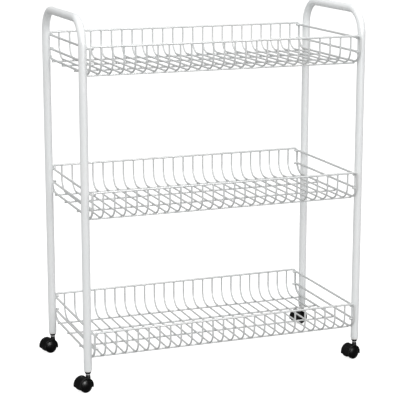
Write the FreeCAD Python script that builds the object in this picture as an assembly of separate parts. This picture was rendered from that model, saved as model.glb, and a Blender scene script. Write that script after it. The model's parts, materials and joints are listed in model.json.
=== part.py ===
import FreeCAD, Part
import math
import os

# Rolling utility cart: two inverted-U end tubes joined by three wire baskets, on four twin-wheel
# casters. Millimetres. +X runs along the cart, -Y is the front, +Z is up, and the floor is Z = 0.
# The casters trail towards -X, so the origin, which is the middle of the plan outline, lies to
# the left of the middle of the frame.

V = FreeCAD.Vector

# Frame
mid_x = 11.4                 # middle of the frame, from the origin
leg_x = 328.0                # leg axis, from the middle of the frame
leg_y = 148.0                # leg axis, from the middle of the depth
tube_r = 9.0
tube_wall = 1.2
tube_foot_z = 47.8           # cut end of each leg
handle_z = 818.8             # axis of the level stretch of the handle
handle_bend_r = 55.0

# Baskets
tiers = {"bottom": 135.8, "middle": 449.3, "top": 762.8}     # height of each rim wire's axis
rim_r = 2.5                  # rim and rail wire radius
wire_r = 2.0                 # cross and floor wire radius
basket_y = 166.0             # axis of the front and back wires
basket_depth = 60.0          # rim axis down to the end wire's axis at the floor
floor_bend_r = 30.0
rim_bend_r = 8.0
cross_count = 24
cross_pitch = 25.4
floor_wire_y = (-133.0, -50.0, 50.0, 133.0)
floor_wire_overhang = 2.5    # cut end past the end wire's axis

# Side rails, welded to the inner face of the legs
rail_drop = (5.0, 37.0)      # upper and lower rail below the rim's axis
rail_hook_y = 161.2
rail_hook_x = 9.0            # how far the hooked end turns in
rail_hook_r = 5.0

# Casters
wheel_r = 15.0
wheel_inner_y = 5.8          # inner face of a wheel, from the middle of the caster
wheel_tread_y = 13.4         # outer edge of the tread
wheel_dome_y = 18.0          # crown of the domed face
wheel_edge_r = 1.2
caster_trail = 11.9          # stem axis to axle axis
trail_heading = 196.5        # direction of the trail at rest, degrees from +X
hood_outer_r = 18.0
hood_inner_r = 16.4
hood_half_width = 13.4
hood_skirt_z = 10.4          # lower edge of the hood
hood_lip_r = 0.6             # raised bead along each side edge
web_half = 4.0               # plate between the wheels
neck_r = 5.0
neck_top_z = 36.8
axle_r = 2.5
axle_half = 14.0
bore_clearance = 0.05
pin_r = 3.0                  # lower end of the stem, on which the caster swivels
pin_foot_z = 25.0
stem_r = 4.0
stem_top_z = 75.8
stem_band_r = 5.4            # bright shoulder above the neck
stem_band_z = (37.0, 39.3)
collar_top_r = 7.4
collar_foot_r = 5.9
collar_rim = 1.2             # height of the collar's straight rim
lip_r = 8.4                  # white rim of the socket under the tube
lip_foot_z = 43.8
lip_round = 1.6
socket_top_z = 73.8
corners = {
    "front_left": (-1, -1),
    "back_left": (-1, 1),
    "back_right": (1, 1),
    "front_right": (1, -1),
}

end_x = leg_x - tube_r - rim_r          # axis of the end wires and side rails
long_x = end_x + floor_wire_overhang


def save(name, solids):
    """Write one node, shifted so that the origin is the middle of the plan outline."""
    shape = Part.makeCompound([s.copy() for s in solids]) if len(solids) > 1 else solids[0].copy()
    shape.translate(V(mid_x, 0, 0))
    assert shape.isValid(), name
    shape.exportStep("parts/" + name + ".step")


def bent_path(corner_points, radii, closed=False):
    """Straight runs between the given points, with a tangent arc of the given radius at each bend."""
    count = len(corner_points)
    bends = range(count) if closed else range(1, count - 1)
    edges = []
    starts, ends = {}, {}
    for i in bends:
        here = corner_points[i]
        back = (corner_points[i - 1] - here).normalize()
        ahead = (corner_points[(i + 1) % count] - here).normalize()
        turn = math.pi - back.getAngle(ahead)
        reach = radii[i] * math.tan(turn / 2)
        starts[i] = here + back * reach
        ends[i] = here + ahead * reach
        inward = (back + ahead).normalize()
        mid = here + inward * (radii[i] / math.cos(turn / 2) - radii[i])
        edges.append(Part.Arc(starts[i], mid, ends[i]).toShape())
    if not closed:
        starts[count - 1] = corner_points[-1]
        ends[0] = corner_points[0]
    for i in range(count if closed else count - 1):
        run_from, run_to = ends[i], starts[(i + 1) % count]
        if run_from.distanceToPoint(run_to) > 1e-6:
            edges.append(Part.LineSegment(run_from, run_to).toShape())
    return Part.Wire(Part.__sortEdges__(edges))


def pipe(path, radius):
    """Round bar of the given radius along a path."""
    first = path.OrderedEdges[0]
    start = path.OrderedVertexes[0].Point
    heading = first.tangentAt(first.FirstParameter)
    if first.valueAt(first.FirstParameter).distanceToPoint(start) > 1e-6:
        heading = first.tangentAt(first.LastParameter) * -1
    ring = Part.Wire(Part.makeCircle(radius, start, heading))
    return path.makePipeShell([ring], True, False)


def revolve(profile):
    """Solid of revolution about +Z from (radius, height) points, any of which may be an arc pair."""
    edges = []
    last = None
    for item in profile:
        point = V(item[-1][0], 0, item[-1][1])
        if last is not None:
            if len(item) == 2:
                edges.append(Part.Arc(last, V(item[0][0], 0, item[0][1]), point).toShape())
            else:
                edges.append(Part.LineSegment(last, point).toShape())
        last = point
    face = Part.Face(Part.Wire(edges))
    return face.revolve(V(0, 0, 0), V(0, 0, 1), 360)


def end_tube(side):
    """One inverted-U tube: front leg, handle and back leg."""
    x = side * leg_x
    turns = [V(x, -leg_y, tube_foot_z), V(x, -leg_y, handle_z), V(x, leg_y, handle_z),
             V(x, leg_y, tube_foot_z)]
    radii = [0, handle_bend_r, handle_bend_r, 0]
    path = bent_path(turns, radii)
    return pipe(path, tube_r).cut(pipe(path, tube_r - tube_wall))


def side_rails(side, rim_z):
    """Upper and lower rail of one tier at one end, with their ends hooked inwards."""
    x = side * end_x
    hook = side * (end_x - rail_hook_x)
    rails = []
    for drop in rail_drop:
        z = rim_z - drop
        turns = [V(hook, -rail_hook_y, z), V(x, -rail_hook_y, z), V(x, rail_hook_y, z),
                 V(hook, rail_hook_y, z)]
        rails.append(pipe(bent_path(turns, [0, rail_hook_r, rail_hook_r, 0]), rim_r))
    return rails


def perimeter_wire(rim_z):
    """Front rim, right end wire, back rim and left end wire, bent from one closed wire."""
    low = rim_z - basket_depth
    x, y = end_x, basket_y
    turns = [V(-x, -y, rim_z), V(x, -y, rim_z), V(x, -y, low), V(x, y, low),
             V(x, y, rim_z), V(-x, y, rim_z), V(-x, y, low), V(-x, -y, low)]
    radii = [rim_bend_r, rim_bend_r, floor_bend_r, floor_bend_r,
             rim_bend_r, rim_bend_r, floor_bend_r, floor_bend_r]
    return pipe(bent_path(turns, radii, closed=True), rim_r)


def cross_wires(rim_z):
    """U-shaped wires that make the front, floor and back of a basket."""
    top = rim_z - rim_r
    low = rim_z - basket_depth - rim_r + wire_r
    wires = []
    for i in range(cross_count):
        x = (i - (cross_count - 1) / 2) * cross_pitch
        turns = [V(x, -basket_y, top), V(x, -basket_y, low), V(x, basket_y, low), V(x, basket_y, top)]
        wires.append(pipe(bent_path(turns, [0, floor_bend_r, floor_bend_r, 0]), wire_r))
    return wires


def floor_wires(rim_z):
    """Long wires under the cross wires."""
    z = rim_z - basket_depth - rim_r - wire_r
    return [Part.makeCylinder(wire_r, 2 * long_x, V(-long_x, y, z), V(1, 0, 0)) for y in floor_wire_y]


def socket():
    """White plug in the leg's end, with a rounded lip below the tube."""
    inside = tube_r - tube_wall
    flat = lip_r - lip_round
    corner = lip_round * (1 - math.sqrt(0.5))
    return revolve([
        ((stem_r, lip_foot_z),),
        ((flat, lip_foot_z),),
        ((lip_r - corner, lip_foot_z + corner), (lip_r, lip_foot_z + lip_round)),
        ((lip_r, tube_foot_z),),
        ((inside, tube_foot_z),),
        ((inside, socket_top_z - 2),),
        ((inside - 1, socket_top_z),),
        ((stem_r, socket_top_z),),
        ((stem_r, lip_foot_z),),
    ])


def collar():
    """Black tapered ring between the socket and the stem's shoulder."""
    top, foot = lip_foot_z, stem_band_z[1]
    return revolve([
        ((stem_r, foot),),
        ((collar_foot_r, foot),),
        ((collar_top_r, top - collar_rim),),
        ((collar_top_r, top),),
        ((stem_r, top),),
        ((stem_r, foot),),
    ])


def stem():
    """Steel stem: swivel pin, bright shoulder, shank, groove for its grip and rounded tip."""
    band_low, band_high = stem_band_z
    groove_z = socket_top_z - 8
    return revolve([
        ((0, pin_foot_z),),
        ((pin_r - 0.6, pin_foot_z),),
        ((pin_r, pin_foot_z + 0.6),),
        ((pin_r, band_low),),
        ((stem_band_r - 0.4, band_low),),
        ((stem_band_r, band_low + 0.4),),
        ((stem_band_r, band_high),),
        ((stem_r, band_high),),
        ((stem_r, groove_z),),
        ((stem_r - 0.7, groove_z + 0.7),),
        ((stem_r - 0.7, groove_z + 2.3),),
        ((stem_r, groove_z + 3),),
        ((stem_r, stem_top_z - 2),),
        ((stem_r - 2, stem_top_z),),
        ((0, stem_top_z),),
        ((0, pin_foot_z),),
    ])


def disc(radius, low_y, high_y):
    """Cylinder about the axle, in the caster's own frame: stem on Z, trail towards +X."""
    return Part.makeCylinder(radius, high_y - low_y, V(caster_trail, low_y, wheel_r), V(0, 1, 0))


def hood():
    """Caster body: curved hood over the wheels, plate between them, and swivel neck."""
    w = hood_half_width
    shell = disc(hood_outer_r, -w, w).cut(disc(hood_inner_r, -w - 1, w + 1))
    for side in (-1, 1):
        at = V(caster_trail, side * (w - hood_lip_r), wheel_r)
        bead = Part.makeTorus(hood_outer_r, hood_lip_r, at, V(0, 1, 0))
        shell = shell.fuse(bead)
    reach = 2 * hood_outer_r
    below = Part.makeBox(2 * reach, 2 * reach, reach + hood_skirt_z, V(-reach, -reach, -reach))
    web = disc(hood_inner_r + 0.5, -web_half, web_half)
    web_cut = Part.makeBox(2 * reach, 2 * reach, reach + hood_skirt_z - 3, V(-reach, -reach, -reach))
    boss_z = wheel_r + 3
    neck = Part.makeCylinder(neck_r, neck_top_z - boss_z, V(0, 0, boss_z))
    skirt = disc(hood_outer_r - 0.6, -neck_r, neck_r).common(
        Part.makeBox(neck_r * 2, neck_r * 2, neck_top_z, V(-neck_r, -neck_r, boss_z)))
    body = shell.cut(below).fuse([web.cut(web_cut), neck, skirt])
    bore = Part.makeCylinder(pin_r + bore_clearance, neck_top_z, V(0, 0, pin_foot_z - 0.5))
    body = body.cut(bore).cut(disc(axle_r, -web_half - 1, web_half + 1))
    return body.removeSplitter()


def axle():
    return disc(axle_r, -axle_half, axle_half)


def wheel(side):
    """One wheel: rounded tread, domed outer face, relieved inner face and blind bore."""
    rim_y = wheel_tread_y
    edge = wheel_edge_r
    crown = wheel_dome_y
    face_r = wheel_r - edge
    sphere_r = (face_r ** 2 + (crown - rim_y) ** 2) / (2 * (crown - rim_y))
    half = face_r / 2
    dome_mid = crown - sphere_r + math.sqrt(sphere_r ** 2 - half ** 2)
    corner = edge * (1 - math.sqrt(0.5))
    bore_r = axle_r + bore_clearance
    bore_end = axle_half + 0.4
    body = revolve([
        ((bore_r, wheel_inner_y),),
        ((wheel_r - edge, wheel_inner_y),),
        ((wheel_r - corner, wheel_inner_y + corner), (wheel_r, wheel_inner_y + edge)),
        ((wheel_r, rim_y - edge),),
        ((wheel_r - corner, rim_y - corner), (face_r, rim_y)),
        ((half, dome_mid), (0, crown)),
        ((0, bore_end),),
        ((bore_r, bore_end),),
        ((bore_r, wheel_inner_y),),
    ])
    body.rotate(V(0, 0, 0), V(1, 0, 0), -90 * side)
    body.translate(V(caster_trail, 0, wheel_r))
    return body


def caster(corner):
    """All the pieces under one leg, by node name."""
    side_x, side_y = corners[corner]
    at = V(side_x * leg_x, side_y * leg_y, 0)
    pieces = {
        "leg_socket": socket(),
        "stem_collar": collar(),
        "caster_stem": stem(),
        "caster_hood": hood(),
        "caster_axle": axle(),
        "caster_wheel_a": wheel(1),
        "caster_wheel_b": wheel(-1),
    }
    for piece in pieces.values():
        piece.rotate(V(0, 0, 0), V(0, 0, 1), trail_heading)
        piece.translate(at)
    return pieces


os.makedirs("parts", exist_ok=True)
save("left_end_tube", [end_tube(-1)])
save("right_end_tube", [end_tube(1)])
for tier, rim_z in tiers.items():
    save(tier + "_left_side_rails", side_rails(-1, rim_z))
    save(tier + "_right_side_rails", side_rails(1, rim_z))
    save(tier + "_basket_perimeter_wire", [perimeter_wire(rim_z)])
    save(tier + "_basket_cross_wires", cross_wires(rim_z))
    save(tier + "_basket_floor_wires", floor_wires(rim_z))
for corner in corners:
    for name, piece in caster(corner).items():
        save(corner + "_" + name, [piece])
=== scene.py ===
import bpy
import bmesh
import json
import math
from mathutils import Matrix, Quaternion, Vector


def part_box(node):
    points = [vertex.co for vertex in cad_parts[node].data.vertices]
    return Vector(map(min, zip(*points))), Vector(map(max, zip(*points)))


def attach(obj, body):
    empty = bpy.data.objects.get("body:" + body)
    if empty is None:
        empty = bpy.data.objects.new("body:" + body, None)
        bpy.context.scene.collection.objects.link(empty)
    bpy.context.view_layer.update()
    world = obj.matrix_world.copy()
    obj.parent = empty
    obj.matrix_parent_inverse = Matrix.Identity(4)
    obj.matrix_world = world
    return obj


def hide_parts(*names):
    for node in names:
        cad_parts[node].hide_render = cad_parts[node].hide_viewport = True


# Rolling utility cart: white powder-coated wire and tube on black twin-wheel casters. Metres.

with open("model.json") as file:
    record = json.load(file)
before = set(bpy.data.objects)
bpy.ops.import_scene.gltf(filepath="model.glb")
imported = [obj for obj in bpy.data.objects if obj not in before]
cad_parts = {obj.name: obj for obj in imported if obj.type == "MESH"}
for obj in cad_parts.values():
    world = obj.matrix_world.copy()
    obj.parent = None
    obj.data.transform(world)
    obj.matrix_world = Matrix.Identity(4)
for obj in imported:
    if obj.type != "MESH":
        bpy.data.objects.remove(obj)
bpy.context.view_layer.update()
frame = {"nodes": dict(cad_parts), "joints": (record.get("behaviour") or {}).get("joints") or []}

MM = 0.001
TIERS = ("bottom", "middle", "top")
CORNERS = ("front_left", "back_left", "back_right", "front_right")

X_AXIS, Y_AXIS, Z_AXIS = Vector((1, 0, 0)), Vector((0, 1, 0)), Vector((0, 0, 1))

# End tubes
TUBE_R = 9.0 * MM
TUBE_WALL = 1.2 * MM
TUBE_CHAMFER = 0.3 * MM
TUBE_OPEN_DEPTH = 12 * MM  # how far up the inside of a leg is modelled
HANDLE_BEND_R = 55 * MM
# Baskets
RIM_R = 2.5 * MM
WIRE_R = 2.0 * MM
BASKET_DEPTH = 60 * MM
FLOOR_BEND_R = 30 * MM
RIM_BEND_R = 8 * MM
CROSS_COUNT = 24
INNER_FLOOR_WIRE_Y = 50 * MM
RAIL_DROP = (5 * MM, 37 * MM)
RAIL_HOOK_X = 9 * MM
RAIL_HOOK_R = 5 * MM
RUN_STEP = 50 * MM  # longest straight run without a vertex
# Weld nuggets: half-lengths along, across and through the joint
FLOOR_WELD = (2.1 * MM, 2.1 * MM, 1.3 * MM)
RIM_WELD = (2.6 * MM, 2.3 * MM, 1.4 * MM)
END_WELD = (2.2 * MM, 2.0 * MM, 1.2 * MM)
RAIL_TO_LEG_WELD = (4.2 * MM, 2.7 * MM, 1.5 * MM)
WIRE_TO_LEG_WELD = (3.8 * MM, 2.7 * MM, 1.4 * MM)
HOOK_WELD = (2.6 * MM, 2.2 * MM, 1.7 * MM)
HOOK_WELD_IN = (1.4 * MM, 2.7 * MM)  # inwards from the rail's long run and from the rim
# Casters
HOOD_R = 18.0 * MM
HOOD_INNER_R = 16.4 * MM
HOOD_LIP_R = 0.6 * MM
HOOD_HALF_WIDTH = 13.4 * MM
WEB_HALF = 4.0 * MM
WEB_BELOW_SKIRT = 3 * MM
NECK_R = 5.0 * MM
NECK_FLARE = 0.6 * MM
AXLE_R = 2.5 * MM
WHEEL_R = 15.0 * MM
WHEEL_EDGE_R = 1.2 * MM
WHEEL_INNER = 5.8 * MM  # inner face, from the middle of the axle
WHEEL_TREAD = 13.4 * MM  # outer edge of the tread, likewise
WHEEL_CROWN = 18.0 * MM  # top of the dome, likewise
HUB_R = 5.0 * MM
HOLLOW_R = 11.9 * MM
HOLLOW_DEPTH = 3.2 * MM
SOCKET_BORE_R = 4.2 * MM
SOCKET_LIP_R = 1.6 * MM
COLLAR_FOOT_R = 5.9 * MM
SWIVEL_PIN_R = 2.9 * MM
STEM_R = 4 * MM


# ---------------------------------------------------------------- mesh building

def arc_route(corners, radii, closed=False, step=math.radians(5)):
    """Points along straight runs between the corners, with an arc of the given radius at each."""
    count = len(corners)
    points = []
    for i, here in enumerate(corners):
        if not closed and i in (0, count - 1):
            points.append(here.copy())
            continue
        back = (corners[i - 1] - here).normalized()
        ahead = (corners[(i + 1) % count] - here).normalized()
        turn = math.pi - back.angle(ahead)
        centre = here + (back + ahead).normalized() * (radii[i] / math.cos(turn / 2))
        first = here + back * radii[i] * math.tan(turn / 2) - centre
        axis = back.cross(ahead).normalized() * -1
        steps = max(3, round(turn / step))
        for k in range(steps + 1):
            points.append(centre + Quaternion(axis, turn * k / steps) @ first)
    return points


def split_runs(points, longest):
    """The same route with no straight run longer than the given length."""
    out = []
    for a, b in zip(points, points[1:]):
        parts = max(1, math.ceil((b - a).length / longest))
        out += [a.lerp(b, k / parts) for k in range(parts)]
    return out + [points[-1]]


def directions(points, closed):
    """Unit direction of a route at each of its points."""
    if closed:
        return [(points[(i + 1) % len(points)] - points[i - 1]).normalized() for i in range(len(points))]
    runs = [(b - a).normalized() for a, b in zip(points, points[1:])]
    return [runs[0]] + [(b + a).normalized() for a, b in zip(runs, runs[1:])] + [runs[-1]]


class Builder:
    """Collects vertices and faces, and a wear value for each vertex, for one mesh."""

    def __init__(self):
        self.verts, self.faces, self.wear = [], [], []

    def ring(self, centre, normal, across, radius, sides, wear=0.0):
        """Adds a ring of vertices and returns their indices."""
        up = normal.cross(across)
        start = len(self.verts)
        for k in range(sides):
            a = 2 * math.pi * k / sides
            self.verts.append(centre + (across * math.cos(a) + up * math.sin(a)) * radius)
            self.wear.append(wear)
        return list(range(start, start + sides))

    def point(self, p, wear=0.0):
        self.verts.append(p.copy())
        self.wear.append(wear)
        return len(self.verts) - 1

    def join(self, a, b):
        """Faces between two rings of equal length."""
        n = len(a)
        for k in range(n):
            self.faces.append((a[k], a[(k + 1) % n], b[(k + 1) % n], b[k]))

    def cap(self, ring, centre, flip=False):
        n = len(ring)
        for k in range(n):
            tri = (ring[k], ring[(k + 1) % n], centre)
            self.faces.append(tri[::-1] if flip else tri)

    def wire(self, points, radius, sides=14, closed=False, chamfer=0.35 * MM):
        """Round wire along a route, with chamfered cut ends unless it is closed."""
        tangents = directions(points, closed)
        across = tangents[0].orthogonal().normalized()
        sideways = [across]
        for before, here in zip(tangents, tangents[1:]):
            across = before.rotation_difference(here) @ across
            across = (across - here * across.dot(here)).normalized()
            sideways.append(across)
        twist = 0.0
        if closed:
            back = tangents[-1].rotation_difference(tangents[0]) @ across
            twist = math.atan2(tangents[0].dot(back.cross(sideways[0])), back.dot(sideways[0]))
        rings = []
        for i, (here, tangent) in enumerate(zip(points, tangents)):
            side = Quaternion(tangent, twist * i / len(points)) @ sideways[i]
            if closed or 0 < i < len(points) - 1:
                rings.append(self.ring(here, tangent, side, radius, sides))
                continue
            at_start = i == 0
            tip = self.ring(here, tangent, side, radius - chamfer, sides)
            inset = tangent * (chamfer if at_start else -chamfer)
            shoulder = self.ring(here + inset, tangent, side, radius, sides)
            self.cap(tip, self.point(here), flip=at_start)
            rings += [tip, shoulder] if at_start else [shoulder, tip]
        for a, b in zip(rings, rings[1:]):
            self.join(a, b)
        if closed:
            self.join(rings[-1], rings[0])

    def nugget(self, centre, axis, along, size, sides=12, rows=6):
        """Weld nugget: a squashed, slightly pinched bead. size is (along, across, axis) half-lengths."""
        axis = axis.normalized()
        along = (along - axis * along.dot(axis)).normalized()
        across = axis.cross(along)
        rings = []
        for r in range(1, rows):
            lat = -math.pi / 2 + math.pi * r / rows
            spread, rise = math.cos(lat) ** 0.8, math.sin(lat)
            ring = []
            for k in range(sides):
                a = 2 * math.pi * k / sides
                ripple = 1 + 0.05 * math.sin(3 * a + centre.x * 900 + centre.y * 700)
                flat = along * math.cos(a) * size[0] + across * math.sin(a) * size[1]
                p = centre + axis * rise * size[2] + flat * spread * ripple
                ring.append(self.point(p, 1.0))
            rings.append(ring)
        low = self.point(centre - axis * size[2], 1.0)
        high = self.point(centre + axis * size[2], 1.0)
        self.cap(rings[0], low, flip=True)
        for a, b in zip(rings, rings[1:]):
            self.join(a, b)
        self.cap(rings[-1], high)

    def lathe(self, profile, origin, axis, sides=64):
        """Surface of revolution from (radius, height) or (radius, height, wear) points."""
        axis = axis.normalized()
        across = axis.orthogonal().normalized()
        previous = None
        for item in profile:
            radius, height = item[0], item[1]
            wear = item[2] if len(item) > 2 else 0.0
            centre = origin + axis * height
            if radius < 1e-7:
                tip = self.point(centre, wear)
                if isinstance(previous, list):
                    self.cap(previous, tip)
                previous = tip
                continue
            ring = self.ring(centre, axis, across, radius, sides, wear)
            if isinstance(previous, list):
                self.join(previous, ring)
            elif previous is not None:
                self.cap(ring, previous, flip=True)
            previous = ring

    def piece(self, name, material, body, slot, replaces=(), sharp=38):
        """Makes the object, rides it on its body and lets it stand for its CAD nodes."""
        mesh = bpy.data.meshes.new(name)
        mesh.from_pydata([tuple(v) for v in self.verts], [], self.faces)
        attribute = mesh.attributes.new("wear", "FLOAT", "POINT")
        attribute.data.foreach_set("value", self.wear)
        bm = bmesh.new()
        bm.from_mesh(mesh)
        bmesh.ops.recalc_face_normals(bm, faces=bm.faces)
        bm.to_mesh(mesh)
        bm.free()
        mesh.polygons.foreach_set("use_smooth", [True] * len(mesh.polygons))
        mesh.set_sharp_from_angle(angle=math.radians(sharp))
        mesh.materials.append(material)
        obj = bpy.data.objects.new(name, mesh)
        bpy.context.scene.collection.objects.link(obj)
        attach(obj, body)
        if replaces:
            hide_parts(*replaces)


# ---------------------------------------------------------------- materials

def new_material(name):
    mat = bpy.data.materials.new(name)
    mat.use_nodes = True
    tree = mat.node_tree
    shader = tree.nodes["Principled BSDF"]
    coords = tree.nodes.new("ShaderNodeTexCoord")
    return mat, tree, shader, coords.outputs["Object"]


def noise(tree, coords, scale, detail=3.0, roughness=0.55):
    node = tree.nodes.new("ShaderNodeTexNoise")
    node.inputs["Scale"].default_value = scale
    node.inputs["Detail"].default_value = detail
    node.inputs["Roughness"].default_value = roughness
    tree.links.new(coords, node.inputs["Vector"])
    return node.outputs["Fac"]


def ramp(tree, value, low, high, a, b):
    node = tree.nodes.new("ShaderNodeValToRGB")
    node.color_ramp.elements[0].position = low
    node.color_ramp.elements[1].position = high
    node.color_ramp.elements[0].color = (*a, 1)
    node.color_ramp.elements[1].color = (*b, 1)
    tree.links.new(value, node.inputs["Fac"])
    return node.outputs["Color"]


def spread(tree, value, low, high, from_low=0.3, from_high=0.7):
    node = tree.nodes.new("ShaderNodeMapRange")
    node.inputs["From Min"].default_value = from_low
    node.inputs["From Max"].default_value = from_high
    node.inputs["To Min"].default_value = low
    node.inputs["To Max"].default_value = high
    tree.links.new(value, node.inputs["Value"])
    return node.outputs["Result"]


def mix(tree, factor, a, b):
    node = tree.nodes.new("ShaderNodeMix")
    node.data_type = "RGBA"
    tree.links.new(factor, node.inputs["Factor"])
    for socket, value in (("A", a), ("B", b)):
        target = [s for s in node.inputs if s.name == socket and s.type == "RGBA"][0]
        if isinstance(value, tuple):
            target.default_value = (*value, 1)
        else:
            tree.links.new(value, target)
    return [s for s in node.outputs if s.type == "RGBA"][0]


def bumps(tree, shader, layers):
    """Stacks bump layers, each (height, strength, distance)."""
    normal = None
    for height, strength, distance in layers:
        node = tree.nodes.new("ShaderNodeBump")
        node.inputs["Strength"].default_value = strength
        node.inputs["Distance"].default_value = distance
        tree.links.new(height, node.inputs["Height"])
        if normal is not None:
            tree.links.new(normal, node.inputs["Normal"])
        normal = node.outputs["Normal"]
    tree.links.new(normal, shader.inputs["Normal"])


def worn(tree):
    node = tree.nodes.new("ShaderNodeAttribute")
    node.attribute_name = "wear"
    return node.outputs["Fac"]


def powder_coat(name, cool, warm, orange_peel):
    """Satin white powder coat: orange peel, faint tone drift, and a thicker, duller coat on welds."""
    mat, tree, shader, coords = new_material(name)
    drift = ramp(tree, noise(tree, coords, 9.0, 4.0), 0.35, 0.65, cool, warm)
    specks = ramp(tree, noise(tree, coords, 1500.0, 1.0), 0.70, 0.76, (1, 1, 1), (0, 0, 0))
    base = mix(tree, specks, tuple(c * 0.93 for c in cool), drift)
    base = mix(tree, worn(tree), base, tuple(c * 0.97 for c in cool))
    tree.links.new(base, shader.inputs["Base Color"])
    tree.links.new(spread(tree, noise(tree, coords, 160.0), 0.30, 0.44), shader.inputs["Roughness"])
    bumps(tree, shader, [
        (noise(tree, coords, orange_peel, 2.0), 0.10, 0.00025),
        (noise(tree, coords, orange_peel * 4, 1.0), 0.05, 0.00008),
    ])
    shader.inputs["Coat Weight"].default_value = 0.12
    shader.inputs["Coat Roughness"].default_value = 0.22
    return mat


def moulded(name, dark, light, scuff, roughness, grain, grain_depth, ior=1.45):
    """Moulded plastic: fine grain, flow marks, and scuffing where the wear value is high."""
    mat, tree, shader, coords = new_material(name)
    flow = ramp(tree, noise(tree, coords, 60.0, 4.0), 0.35, 0.7, dark, light)
    scratch = noise(tree, coords, 420.0, 6.0, 0.7)
    shader.inputs["IOR"].default_value = ior
    marks = tree.nodes.new("ShaderNodeMath")
    marks.operation = "MULTIPLY"
    tree.links.new(spread(tree, scratch, 0.0, 1.0, 0.48, 0.66), marks.inputs[0])
    tree.links.new(worn(tree), marks.inputs[1])
    tree.links.new(mix(tree, marks.outputs[0], flow, scuff), shader.inputs["Base Color"])
    rough = spread(tree, noise(tree, coords, 240.0), roughness[0], roughness[1])
    rougher = tree.nodes.new("ShaderNodeMath")
    rougher.operation = "MULTIPLY_ADD"
    rougher.use_clamp = True
    tree.links.new(marks.outputs[0], rougher.inputs[0])
    rougher.inputs[1].default_value = 0.25
    tree.links.new(rough, rougher.inputs[2])
    tree.links.new(rougher.outputs[0], shader.inputs["Roughness"])
    bumps(tree, shader, [
        (noise(tree, coords, grain, 2.0), grain_depth, 0.0001),
        (scratch, 0.04, 0.0001),
    ])
    return mat


def turned_steel(name, colour, roughness, pitch, metallic):
    """Plated turned steel: fine rings round the part's vertical axis and faint staining."""
    mat, tree, shader, coords = new_material(name)
    stained = tuple(c * 0.82 for c in colour)
    stain = ramp(tree, noise(tree, coords, 300.0, 5.0), 0.3, 0.7, stained, colour)
    tree.links.new(stain, shader.inputs["Base Color"])
    shader.inputs["Metallic"].default_value = metallic
    tree.links.new(spread(tree, noise(tree, coords, 700.0), roughness[0], roughness[1]),
                   shader.inputs["Roughness"])
    rings = tree.nodes.new("ShaderNodeTexWave")
    rings.wave_type = "BANDS"
    rings.bands_direction = "Z"
    rings.inputs["Scale"].default_value = pitch
    rings.inputs["Distortion"].default_value = 0.4
    tree.links.new(coords, rings.inputs["Vector"])
    bumps(tree, shader, [(rings.outputs["Fac"], 0.12, 0.00005)])
    return mat


# The wires' coat is a little darker than the tubes', as it looks in the photograph: painted shade that
# stands in for the darker shaded edges of the thin wires.
TUBE_COAT = powder_coat("tube_powder_coat", cool=(0.91, 0.93, 0.935), warm=(0.935, 0.945, 0.945),
                        orange_peel=420.0)
SHADED_WIRE_COAT = powder_coat("wire_powder_coat", cool=(0.665, 0.685, 0.685), warm=(0.705, 0.71, 0.705),
                        orange_peel=650.0)
SOCKET_PLASTIC = moulded("socket_plastic", dark=(0.93, 0.93, 0.92), light=(0.97, 0.97, 0.96),
                         scuff=(0.8, 0.8, 0.78), roughness=(0.22, 0.32), grain=900.0,
                         grain_depth=0.05)
BLACK_PLASTIC = moulded("black_plastic", dark=(0.001, 0.001, 0.001), light=(0.003, 0.003, 0.003),
                        scuff=(0.01, 0.01, 0.01), roughness=(0.44, 0.54), grain=1600.0,
                        grain_depth=0.08, ior=1.38)
WHEEL_PLASTIC = moulded("wheel_plastic", dark=(0.001, 0.001, 0.001), light=(0.002, 0.002, 0.002),
                        scuff=(0.02, 0.02, 0.02), roughness=(0.27, 0.35), grain=500.0,
                        grain_depth=0.04, ior=1.30)
# The stem steel is only partly metallic: its diffuse white is a painted reflection that stands in for
# the bright surroundings, which are kept dark in reflections.
STEM_STEEL = turned_steel("stem_steel", (0.93, 0.93, 0.935), roughness=(0.14, 0.26), pitch=1500.0,
                          metallic=0.3)
AXLE_STEEL = turned_steel("axle_steel", (0.58, 0.58, 0.59), roughness=(0.28, 0.42), pitch=900.0,
                          metallic=1.0)


# ---------------------------------------------------------------- end tubes and baskets

def end_tube(side_name):
    """One end frame, open at its feet. Returns the tube's X and its front and back leg's Y."""
    node = side_name + "_end_tube"
    low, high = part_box(node)
    tube_x = ((low + high) / 2).x
    front, back = low.y + TUBE_R, high.y - TUBE_R
    top, foot = high.z - TUBE_R, low.z
    corners = [Vector((tube_x, front, foot)), Vector((tube_x, front, top)),
               Vector((tube_x, back, top)), Vector((tube_x, back, foot))]
    route = arc_route(corners, [0, HANDLE_BEND_R, HANDLE_BEND_R, 0], step=math.radians(3))
    route = split_runs(route, 60 * MM)
    last = len(route) - 1
    tangents = [(route[min(i + 1, last)] - route[max(i - 1, 0)]).normalized()
                for i in range(len(route))]
    build = Builder()
    sides = 48

    def foot_rings(end):
        """The open end of a leg from the inside out: bore, cut face, chamfer."""
        levels = [(TUBE_OPEN_DEPTH, TUBE_R - TUBE_WALL, 0.0), (0.0, TUBE_R - TUBE_WALL, 0.0),
                  (0.0, TUBE_R - TUBE_CHAMFER, 1.0), (TUBE_CHAMFER, TUBE_R, 0.6)]
        if end == -1:
            levels.reverse()
        return [build.ring(route[end] + Z_AXIS * rise, tangents[end], X_AXIS, radius, sides, wear)
                for rise, radius, wear in levels]

    rings = foot_rings(0)
    rings += [build.ring(p, t, X_AXIS, TUBE_R, sides) for p, t in zip(route[1:-1], tangents[1:-1])]
    rings += foot_rings(-1)
    for a, b in zip(rings, rings[1:]):
        build.join(a, b)
    for ring, flip in ((rings[0], True), (rings[-1], False)):
        middle = build.point(sum((build.verts[k] for k in ring), Vector()) / sides)
        build.cap(ring, middle, flip)
    build.piece(side_name + "_bent_tube", TUBE_COAT, "root", "tube_powder_coat", [node])
    return tube_x, front, back


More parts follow.
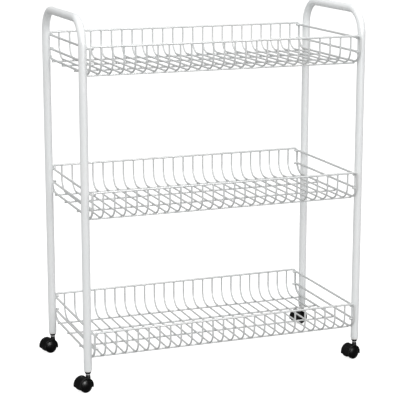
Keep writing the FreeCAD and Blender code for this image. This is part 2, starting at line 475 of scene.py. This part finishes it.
def basket(tier, tubes):
    """One basket with its rails and welds. tubes gives each end tube's X and legs' Y."""
    perimeter = tier + "_basket_perimeter_wire"
    low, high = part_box(perimeter)
    rim_z = high.z - RIM_R
    low_z = rim_z - BASKET_DEPTH
    left, right = low.x + RIM_R, high.x - RIM_R
    front, back = low.y + RIM_R, high.y - RIM_R

    # One closed loop: along the front rim, down and under at the right end, back along the rear rim
    build = Builder()
    corners = [Vector((left, front, rim_z)), Vector((right, front, rim_z)),
               Vector((right, front, low_z)), Vector((right, back, low_z)),
               Vector((right, back, rim_z)), Vector((left, back, rim_z)),
               Vector((left, back, low_z)), Vector((left, front, low_z))]
    radii = [RIM_BEND_R, RIM_BEND_R, FLOOR_BEND_R, FLOOR_BEND_R] * 2
    build.wire(arc_route(corners, radii, closed=True), RIM_R, sides=18, closed=True)
    build.piece(tier + "_perimeter_wire", SHADED_WIRE_COAT, "root", "wire_powder_coat", [perimeter])

    node = tier + "_basket_cross_wires"
    low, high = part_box(node)
    first, last = low.x + WIRE_R, high.x - WIRE_R
    cross_z = low.z + WIRE_R
    cross_x = [first + (last - first) * i / (CROSS_COUNT - 1) for i in range(CROSS_COUNT)]
    build = Builder()
    for x in cross_x:
        corners = [Vector((x, front, rim_z)), Vector((x, front, cross_z)),
                   Vector((x, back, cross_z)), Vector((x, back, rim_z))]
        build.wire(arc_route(corners, [0, FLOOR_BEND_R, FLOOR_BEND_R, 0]), WIRE_R)
    build.piece(tier + "_cross_wires", SHADED_WIRE_COAT, "root", "wire_powder_coat", [node])

    node = tier + "_basket_floor_wires"
    low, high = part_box(node)
    floor_z = ((low + high) / 2).z
    floor_y = (low.y + WIRE_R, -INNER_FLOOR_WIRE_Y, INNER_FLOOR_WIRE_Y, high.y - WIRE_R)
    build = Builder()
    for y in floor_y:
        ends = [Vector((low.x, y, floor_z)), Vector((high.x, y, floor_z))]
        build.wire(split_runs(ends, RUN_STEP), WIRE_R)
    build.piece(tier + "_floor_wires", SHADED_WIRE_COAT, "root", "wire_powder_coat", [node])

    rail_x = {sign: side_rails(tier, side_name, sign, rim_z)
              for side_name, sign in (("left", -1), ("right", 1))}

    # Welds, all in one piece for each basket
    build = Builder()
    for x in cross_x:
        for y in floor_y:
            build.nugget(Vector((x, y, (cross_z + floor_z) / 2)), Z_AXIS, Y_AXIS, FLOOR_WELD)
        for y in (front, back):
            build.nugget(Vector((x, y, rim_z - RIM_R + 0.1 * MM)), Z_AXIS, X_AXIS, RIM_WELD)
    for end_x in (left, right):
        for y in floor_y:
            build.nugget(Vector((end_x, y, (low_z - RIM_R + floor_z + WIRE_R) / 2)), Z_AXIS, X_AXIS,
                         END_WELD)
    for sign, (tube_x, *leg_ys) in tubes.items():
        face_x = tube_x - sign * TUBE_R
        for leg_y in leg_ys:
            for drop in RAIL_DROP:
                build.nugget(Vector((face_x, leg_y, rim_z - drop)), X_AXIS, Y_AXIS, RAIL_TO_LEG_WELD)
            build.nugget(Vector((face_x, leg_y, low_z + RIM_R)), X_AXIS, Y_AXIS, WIRE_TO_LEG_WELD)
        for corner_y in (front, back):
            inward = 1 if corner_y < 0 else -1
            for drop in RAIL_DROP:
                at = Vector((rail_x[sign] - sign * HOOK_WELD_IN[0],
                             corner_y + inward * HOOK_WELD_IN[1], rim_z - drop))
                build.nugget(at, Vector((sign * 0.5, -inward, 0)), Z_AXIS, HOOK_WELD)
    build.piece(tier + "_basket_welds", SHADED_WIRE_COAT, "root", "wire_powder_coat", sharp=80)


def side_rails(tier, side_name, sign, rim_z):
    """The two hooked rails at one end of a basket. Returns the X of their long run."""
    node = tier + "_" + side_name + "_side_rails"
    low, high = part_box(node)
    rail_x = low.x + RIM_R if sign < 0 else high.x - RIM_R
    hook_x = rail_x - sign * RAIL_HOOK_X
    front, back = low.y + RIM_R, high.y - RIM_R
    build = Builder()
    for drop in RAIL_DROP:
        z = rim_z - drop
        corners = [Vector((hook_x, front, z)), Vector((rail_x, front, z)),
                   Vector((rail_x, back, z)), Vector((hook_x, back, z))]
        route = arc_route(corners, [0, RAIL_HOOK_R, RAIL_HOOK_R, 0])
        build.wire(split_runs(route, RUN_STEP), RIM_R, sides=18)
    build.piece(tier + "_" + side_name + "_rails", SHADED_WIRE_COAT, "root", "wire_powder_coat", [node])
    return rail_x


# ---------------------------------------------------------------- casters

def rounded(points, radius, steps=4):
    """A (radius, height) outline with each inner corner rounded by up to the given radius."""
    out = [points[0]]
    for before, here, after in zip(points, points[1:], points[2:]):
        corner = Vector(here)
        back, ahead = Vector(before) - corner, Vector(after) - corner
        reach = min(radius, back.length * 0.45, ahead.length * 0.45)
        start = corner + back.normalized() * reach
        end = corner + ahead.normalized() * reach
        for k in range(steps + 1):
            t = k / steps
            out.append(tuple(start * (1 - t) ** 2 + corner * 2 * t * (1 - t) + end * t * t))
    out.append(points[-1])
    return out


def quarter(steps):
    """Angles of a quarter turn, both ends included."""
    return [math.pi / 2 * k / steps for k in range(steps + 1)]


def arch(level, radius, steps):
    """Angles over the top of a circle, between the two points at a level above its centre."""
    start = math.asin(level / radius)
    return [start + (math.pi - 2 * start) * k / steps for k in range(steps + 1)]


def hood(foot, axle, along, across, skirt_z, neck_top):
    """Curved hood with beaded edges, the plate between the wheels, and the swivel neck.

    foot is the floor point under the swivel's axis.
    """
    build = Builder()
    bead = [(math.cos(math.pi * k / 8), math.sin(math.pi * k / 8)) for k in range(9)]
    side, bead_y, soft = HOOD_HALF_WIDTH, HOOD_HALF_WIDTH - HOOD_LIP_R, 0.2 * MM
    valley, valley_r = bead_y - HOOD_LIP_R - 0.4 * MM, HOOD_R - 0.05 * MM
    flat = bead_y * 0.4
    profile = [(-side, HOOD_INNER_R + soft)]
    profile += [(-bead_y - HOOD_LIP_R * c, HOOD_R + HOOD_LIP_R * s) for c, s in bead]
    profile += [(-valley, valley_r), (-flat, HOOD_R), (flat, HOOD_R), (valley, valley_r)]
    profile += [(bead_y - HOOD_LIP_R * c, HOOD_R + HOOD_LIP_R * s) for c, s in bead]
    profile += [(side, HOOD_INNER_R + soft), (side - soft, HOOD_INNER_R), (0, HOOD_INNER_R),
                (-side + soft, HOOD_INNER_R)]
    steps = 60
    arches = [arch(skirt_z - axle.z, r, steps) for _, r in profile]
    rings = []
    for k in range(steps + 1):
        ring = []
        for (y, r), angles in zip(profile, arches):
            a = angles[k]
            p = axle + along * r * math.cos(a) + Z_AXIS * r * math.sin(a) + across * y
            end_wear = 0.8 if k in (0, steps) else 0.0
            ring.append(build.point(p, max(end_wear, 0.5 if r > HOOD_R else 0.0)))
        rings.append(ring)
    for lower, upper in zip(rings, rings[1:]):
        build.join(lower, upper)
    build.faces.append(tuple(rings[0]))
    build.faces.append(tuple(reversed(rings[-1])))

    # Plate between the wheels: a disc cut level a little below the skirt
    r = HOOD_INNER_R + 0.4 * MM
    edge = 0.5 * MM
    angles = arch(skirt_z - WEB_BELOW_SKIRT - axle.z, r, 48)
    layers = []
    for y, inset in ((-WEB_HALF, edge), (-WEB_HALF + edge, 0), (WEB_HALF - edge, 0), (WEB_HALF, edge)):
        reach = r - inset
        layers.append([build.point(axle + across * y + along * reach * math.cos(a)
                                   + Z_AXIS * reach * math.sin(a)) for a in angles])
    for lower, upper in zip(layers, layers[1:]):
        build.join(lower, upper)
    build.faces.append(tuple(layers[0]))
    build.faces.append(tuple(reversed(layers[-1])))

    # Neck, a little thicker where it runs into the hood
    flare_top, flare_run = neck_top - 3 * MM, 2 * MM
    profile = [(0, axle.z + 3 * MM), (NECK_R, axle.z + 3 * MM), (NECK_R + NECK_FLARE, axle.z + 5 * MM)]
    profile += [(NECK_R + NECK_FLARE * (1 - math.sin(a)), flare_top - flare_run * math.cos(a))
                for a in quarter(5)]
    profile += [(NECK_R, neck_top - 0.4 * MM, 0.6), (NECK_R - 0.4 * MM, neck_top, 0.8), (0, neck_top)]
    build.lathe(profile, foot, Z_AXIS, sides=40)
    return build


def wheel(axle, outward):
    """Rounded tread, domed face with a fine moulded line, and an inner face hollowed round its hub."""
    edge, inner, tread = WHEEL_EDGE_R, WHEEL_INNER, WHEEL_TREAD
    face_r = WHEEL_R - edge
    rise = WHEEL_CROWN - tread
    sphere = (face_r ** 2 + rise ** 2) / (2 * rise)

    def dome(radius):
        return WHEEL_CROWN - sphere + math.sqrt(sphere ** 2 - radius ** 2)

    soft = 0.4 * MM
    profile = [(AXLE_R, inner + soft), (AXLE_R + soft, inner), (HUB_R, inner),
               (HUB_R + soft, inner + soft), (HUB_R + 0.7 * MM, inner + HOLLOW_DEPTH),
               (HOLLOW_R - 0.9 * MM, inner + HOLLOW_DEPTH), (HOLLOW_R - soft, inner + soft),
               (HOLLOW_R, inner)]
    profile += [(face_r + edge * math.sin(a), inner + edge * (1 - math.cos(a)), 0.4 + 0.12 * k)
                for k, a in enumerate(quarter(5))]
    profile += [(WHEEL_R, inner + edge + (tread - inner - 2 * edge) * t, 1.0) for t in (0.25, 0.5, 0.75)]
    profile += [(face_r + edge * math.cos(a), tread - edge * (1 - math.sin(a)), 1.0 - 0.18 * k)
                for k, a in enumerate(quarter(5))]
    line_r, line_depth = face_r - 0.6 * MM, 0.28 * MM
    profile += [(line_r + d, dome(line_r + d)) for d in (0.5 * MM, 0.22 * MM)]
    profile += [(line_r, dome(line_r) - line_depth)]
    profile += [(line_r - d, dome(line_r - d)) for d in (0.22 * MM, 0.5 * MM)]
    for k in range(1, 13):
        radius = (line_r - 0.5 * MM) * (1 - k / 12)
        profile.append((radius, dome(radius), 0.15 if k > 9 else 0.0))
    build = Builder()
    build.lathe(profile, axle, outward, sides=72)
    return build


def leg_socket(corner, foot):
    """White socket: a rounded lip under the leg and a plug inside it."""
    low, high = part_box(corner + "_leg_socket")
    lip_r, lip, soft = (high.x - low.x) / 2, low.z, SOCKET_LIP_R
    tube_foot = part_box("left_end_tube")[0].z
    plug_r, plug_top = TUBE_R - TUBE_WALL - 0.1 * MM, tube_foot + 10 * MM
    profile = [(0, lip + 0.4 * MM), (SOCKET_BORE_R, lip + 0.4 * MM), (SOCKET_BORE_R, lip)]
    profile += [(lip_r - soft * (1 - math.sin(a)), lip + soft * (1 - math.cos(a)))
                for a in quarter(8)]
    profile += [(lip_r, tube_foot - 0.3 * MM), (lip_r - 0.3 * MM, tube_foot), (plug_r, tube_foot),
                (plug_r, plug_top), (0, plug_top)]
    build = Builder()
    build.lathe(profile, foot, Z_AXIS)
    build.piece(corner + "_socket_lip", SOCKET_PLASTIC, "root", "socket_plastic",
                [corner + "_leg_socket"])


def stem_collar(corner, foot):
    """Black collar that widens from the stem to the socket's lip."""
    low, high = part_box(corner + "_stem_collar")
    top_r = (high.x - low.x) / 2
    profile = [(0, low.z), (COLLAR_FOOT_R - 0.3 * MM, low.z), (COLLAR_FOOT_R, low.z + 0.3 * MM),
               (top_r, high.z - 1.2 * MM), (top_r, high.z - 0.2 * MM), (top_r - 0.2 * MM, high.z),
               (0, high.z)]
    build = Builder()
    build.lathe(rounded(profile, 0.25 * MM), foot, Z_AXIS)
    build.piece(corner + "_collar", BLACK_PLASTIC, "root", "black_plastic", [corner + "_stem_collar"])


def caster_stem(corner, foot, neck_top):
    """Steel stem: the swivel pin in the neck, the bright band over it, and the shaft in the collar."""
    low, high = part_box(corner + "_caster_stem")
    band_r = (high.x - low.x) / 2
    band_low, band_high = neck_top + 0.2 * MM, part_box(corner + "_stem_collar")[0].z
    shaft_top = band_high + 2 * MM
    profile = [(0, low.z), (SWIVEL_PIN_R - 0.5 * MM, low.z), (SWIVEL_PIN_R, low.z + 0.5 * MM),
               (SWIVEL_PIN_R, band_low), (band_r - 0.4 * MM, band_low), (band_r, band_low + 0.4 * MM),
               (band_r, band_high - 0.3 * MM), (band_r - 0.3 * MM, band_high), (STEM_R, band_high),
               (STEM_R, shaft_top), (0, shaft_top)]
    build = Builder()
    build.lathe(profile, foot, Z_AXIS)
    build.piece(corner + "_stem", STEM_STEEL, "root", "stem_steel", [corner + "_caster_stem"])


def caster(corner):
    """One caster with its socket and collar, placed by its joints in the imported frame."""
    joints = {j["name"]: j for j in frame["joints"]}
    swivel = Vector(joints[corner + "_swivel"]["pos_m"])
    roll = joints[corner + "_roll_a"]
    axle = Vector(roll["pos_m"])
    across = Vector(roll["axis"]).normalized()
    along = Vector((axle.x - swivel.x, axle.y - swivel.y, 0)).normalized()
    foot = Vector((swivel.x, swivel.y, 0))
    low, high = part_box(corner + "_caster_hood")
    skirt_z, neck_top = low.z + WEB_BELOW_SKIRT, high.z
    hood(foot, axle, along, across, skirt_z, neck_top).piece(
        corner + "_hood", BLACK_PLASTIC, corner + "_caster", "black_plastic",
        [corner + "_caster_hood"], sharp=50)
    for letter, outward in (("a", across), ("b", -across)):
        wheel(axle, outward).piece(
            corner + "_wheel_disc_" + letter, WHEEL_PLASTIC, corner + "_wheel_" + letter,
            "wheel_plastic", [corner + "_caster_wheel_" + letter], sharp=55)
    leg_socket(corner, foot)
    stem_collar(corner, foot)
    caster_stem(corner, foot, neck_top)
    axle_piece = frame["nodes"][corner + "_caster_axle"]
    axle_piece.data.materials.clear()
    axle_piece.data.materials.append(AXLE_STEEL)


tubes = {-1: end_tube("left"), 1: end_tube("right")}
for tier in TIERS:
    basket(tier, tubes)
for corner in CORNERS:
    caster(corner)


# ---------------------------------------------------------------- floor, light and camera

def floor():
    """Pale floor that fades into the background for the camera and is darker in reflections."""
    mesh = bpy.data.meshes.new("floor")
    size = 12.0
    corners = [(-size, -size, 0), (size, -size, 0), (size, size, 0), (-size, size, 0)]
    mesh.from_pydata(corners, [], [(0, 1, 2, 3)])
    obj = bpy.data.objects.new("floor", mesh)
    bpy.context.scene.collection.objects.link(obj)
    mat = bpy.data.materials.new("floor")
    mat.use_nodes = True
    tree = mat.node_tree
    tree.nodes.clear()
    out = tree.nodes.new("ShaderNodeOutputMaterial")
    path = tree.nodes.new("ShaderNodeLightPath")
    matte = tree.nodes.new("ShaderNodeBsdfDiffuse")
    shade = tree.nodes.new("ShaderNodeMapRange")
    shade.inputs["To Min"].default_value = 0.40
    shade.inputs["To Max"].default_value = 0.15
    tree.links.new(path.outputs["Is Glossy Ray"], shade.inputs["Value"])
    tree.links.new(shade.outputs["Result"], matte.inputs["Color"])
    glow = tree.nodes.new("ShaderNodeEmission")
    lift = tree.nodes.new("ShaderNodeMath")
    lift.operation = "MULTIPLY"
    lift.inputs[1].default_value = 0.86
    tree.links.new(path.outputs["Is Camera Ray"], lift.inputs[0])
    tree.links.new(lift.outputs[0], glow.inputs["Strength"])
    both = tree.nodes.new("ShaderNodeAddShader")
    tree.links.new(matte.outputs[0], both.inputs[0])
    tree.links.new(glow.outputs[0], both.inputs[1])
    tree.links.new(both.outputs[0], out.inputs["Surface"])
    mesh.materials.append(mat)


def area_light(name, location, target, size, power, glossy_only=False):
    """Rectangular softbox, hidden from the camera; power in watts."""
    data = bpy.data.lights.new(name, "AREA")
    data.shape = "RECTANGLE"
    data.size, data.size_y = size
    data.energy = power
    obj = bpy.data.objects.new(name, data)
    obj.location = location
    obj.rotation_mode = "QUATERNION"
    obj.rotation_quaternion = (Vector(target) - Vector(location)).to_track_quat("-Z", "Y")
    obj.visible_camera = False
    obj.visible_diffuse = not glossy_only
    bpy.context.scene.collection.objects.link(obj)


def soft_sun(name, direction, spread_angle, power):
    """Parallel light blurred over spread_angle degrees; power in watts per square metre."""
    data = bpy.data.lights.new(name, "SUN")
    data.angle = math.radians(spread_angle)
    data.energy = power
    obj = bpy.data.objects.new(name, data)
    obj.rotation_mode = "QUATERNION"
    obj.rotation_quaternion = Vector(direction).to_track_quat("-Z", "Y")
    bpy.context.scene.collection.objects.link(obj)


def surroundings():
    """White world: full for the camera, softer as light, and dark in reflections off the plastics."""
    world = bpy.data.worlds.new("studio")
    bpy.context.scene.world = world
    world.use_nodes = True
    tree = world.node_tree
    back = tree.nodes["Background"]
    back.inputs["Color"].default_value = (1.0, 1.0, 1.0, 1)
    path = tree.nodes.new("ShaderNodeLightPath")
    seen = None
    for ray, strength in (("Is Camera Ray", 1.05), ("Is Glossy Ray", 0.08)):
        level = tree.nodes.new("ShaderNodeMapRange")
        level.inputs["To Min"].default_value = 0.71
        level.inputs["To Max"].default_value = strength
        tree.links.new(path.outputs[ray], level.inputs["Value"])
        if seen is not None:
            tree.links.new(seen, level.inputs["To Min"])
        seen = level.outputs["Result"]
    tree.links.new(seen, back.inputs["Strength"])


floor()
surroundings()
area_light("top_softbox", location=(0.3, -0.5, 2.7), target=(0, 0, 0.4), size=(3.0, 2.4), power=28)
area_light("key_card", location=(0.10, -2.15, 1.55), target=(0, 0, 0.2), size=(1.7, 1.3), power=140,
           glossy_only=True)
soft_sun("front_fill", direction=(0.35, 1.0, -0.30), spread_angle=70, power=0.90)

# Camera in the photograph's direction and distance from the cart, fitted without lens shift
camera = bpy.data.objects.new("camera", bpy.data.cameras.new("camera"))
camera.data.sensor_width = 36.0
camera.data.lens = 131.1
camera.location = (-1.1748, -3.099, 1.1118)
camera.rotation_euler = (math.radians(90 - 12.51), 0, math.radians(-20.84))
bpy.context.scene.collection.objects.link(camera)
bpy.context.scene.camera = camera
bpy.context.scene.view_settings.view_transform = "Standard"

bpy.context.view_layer.update()
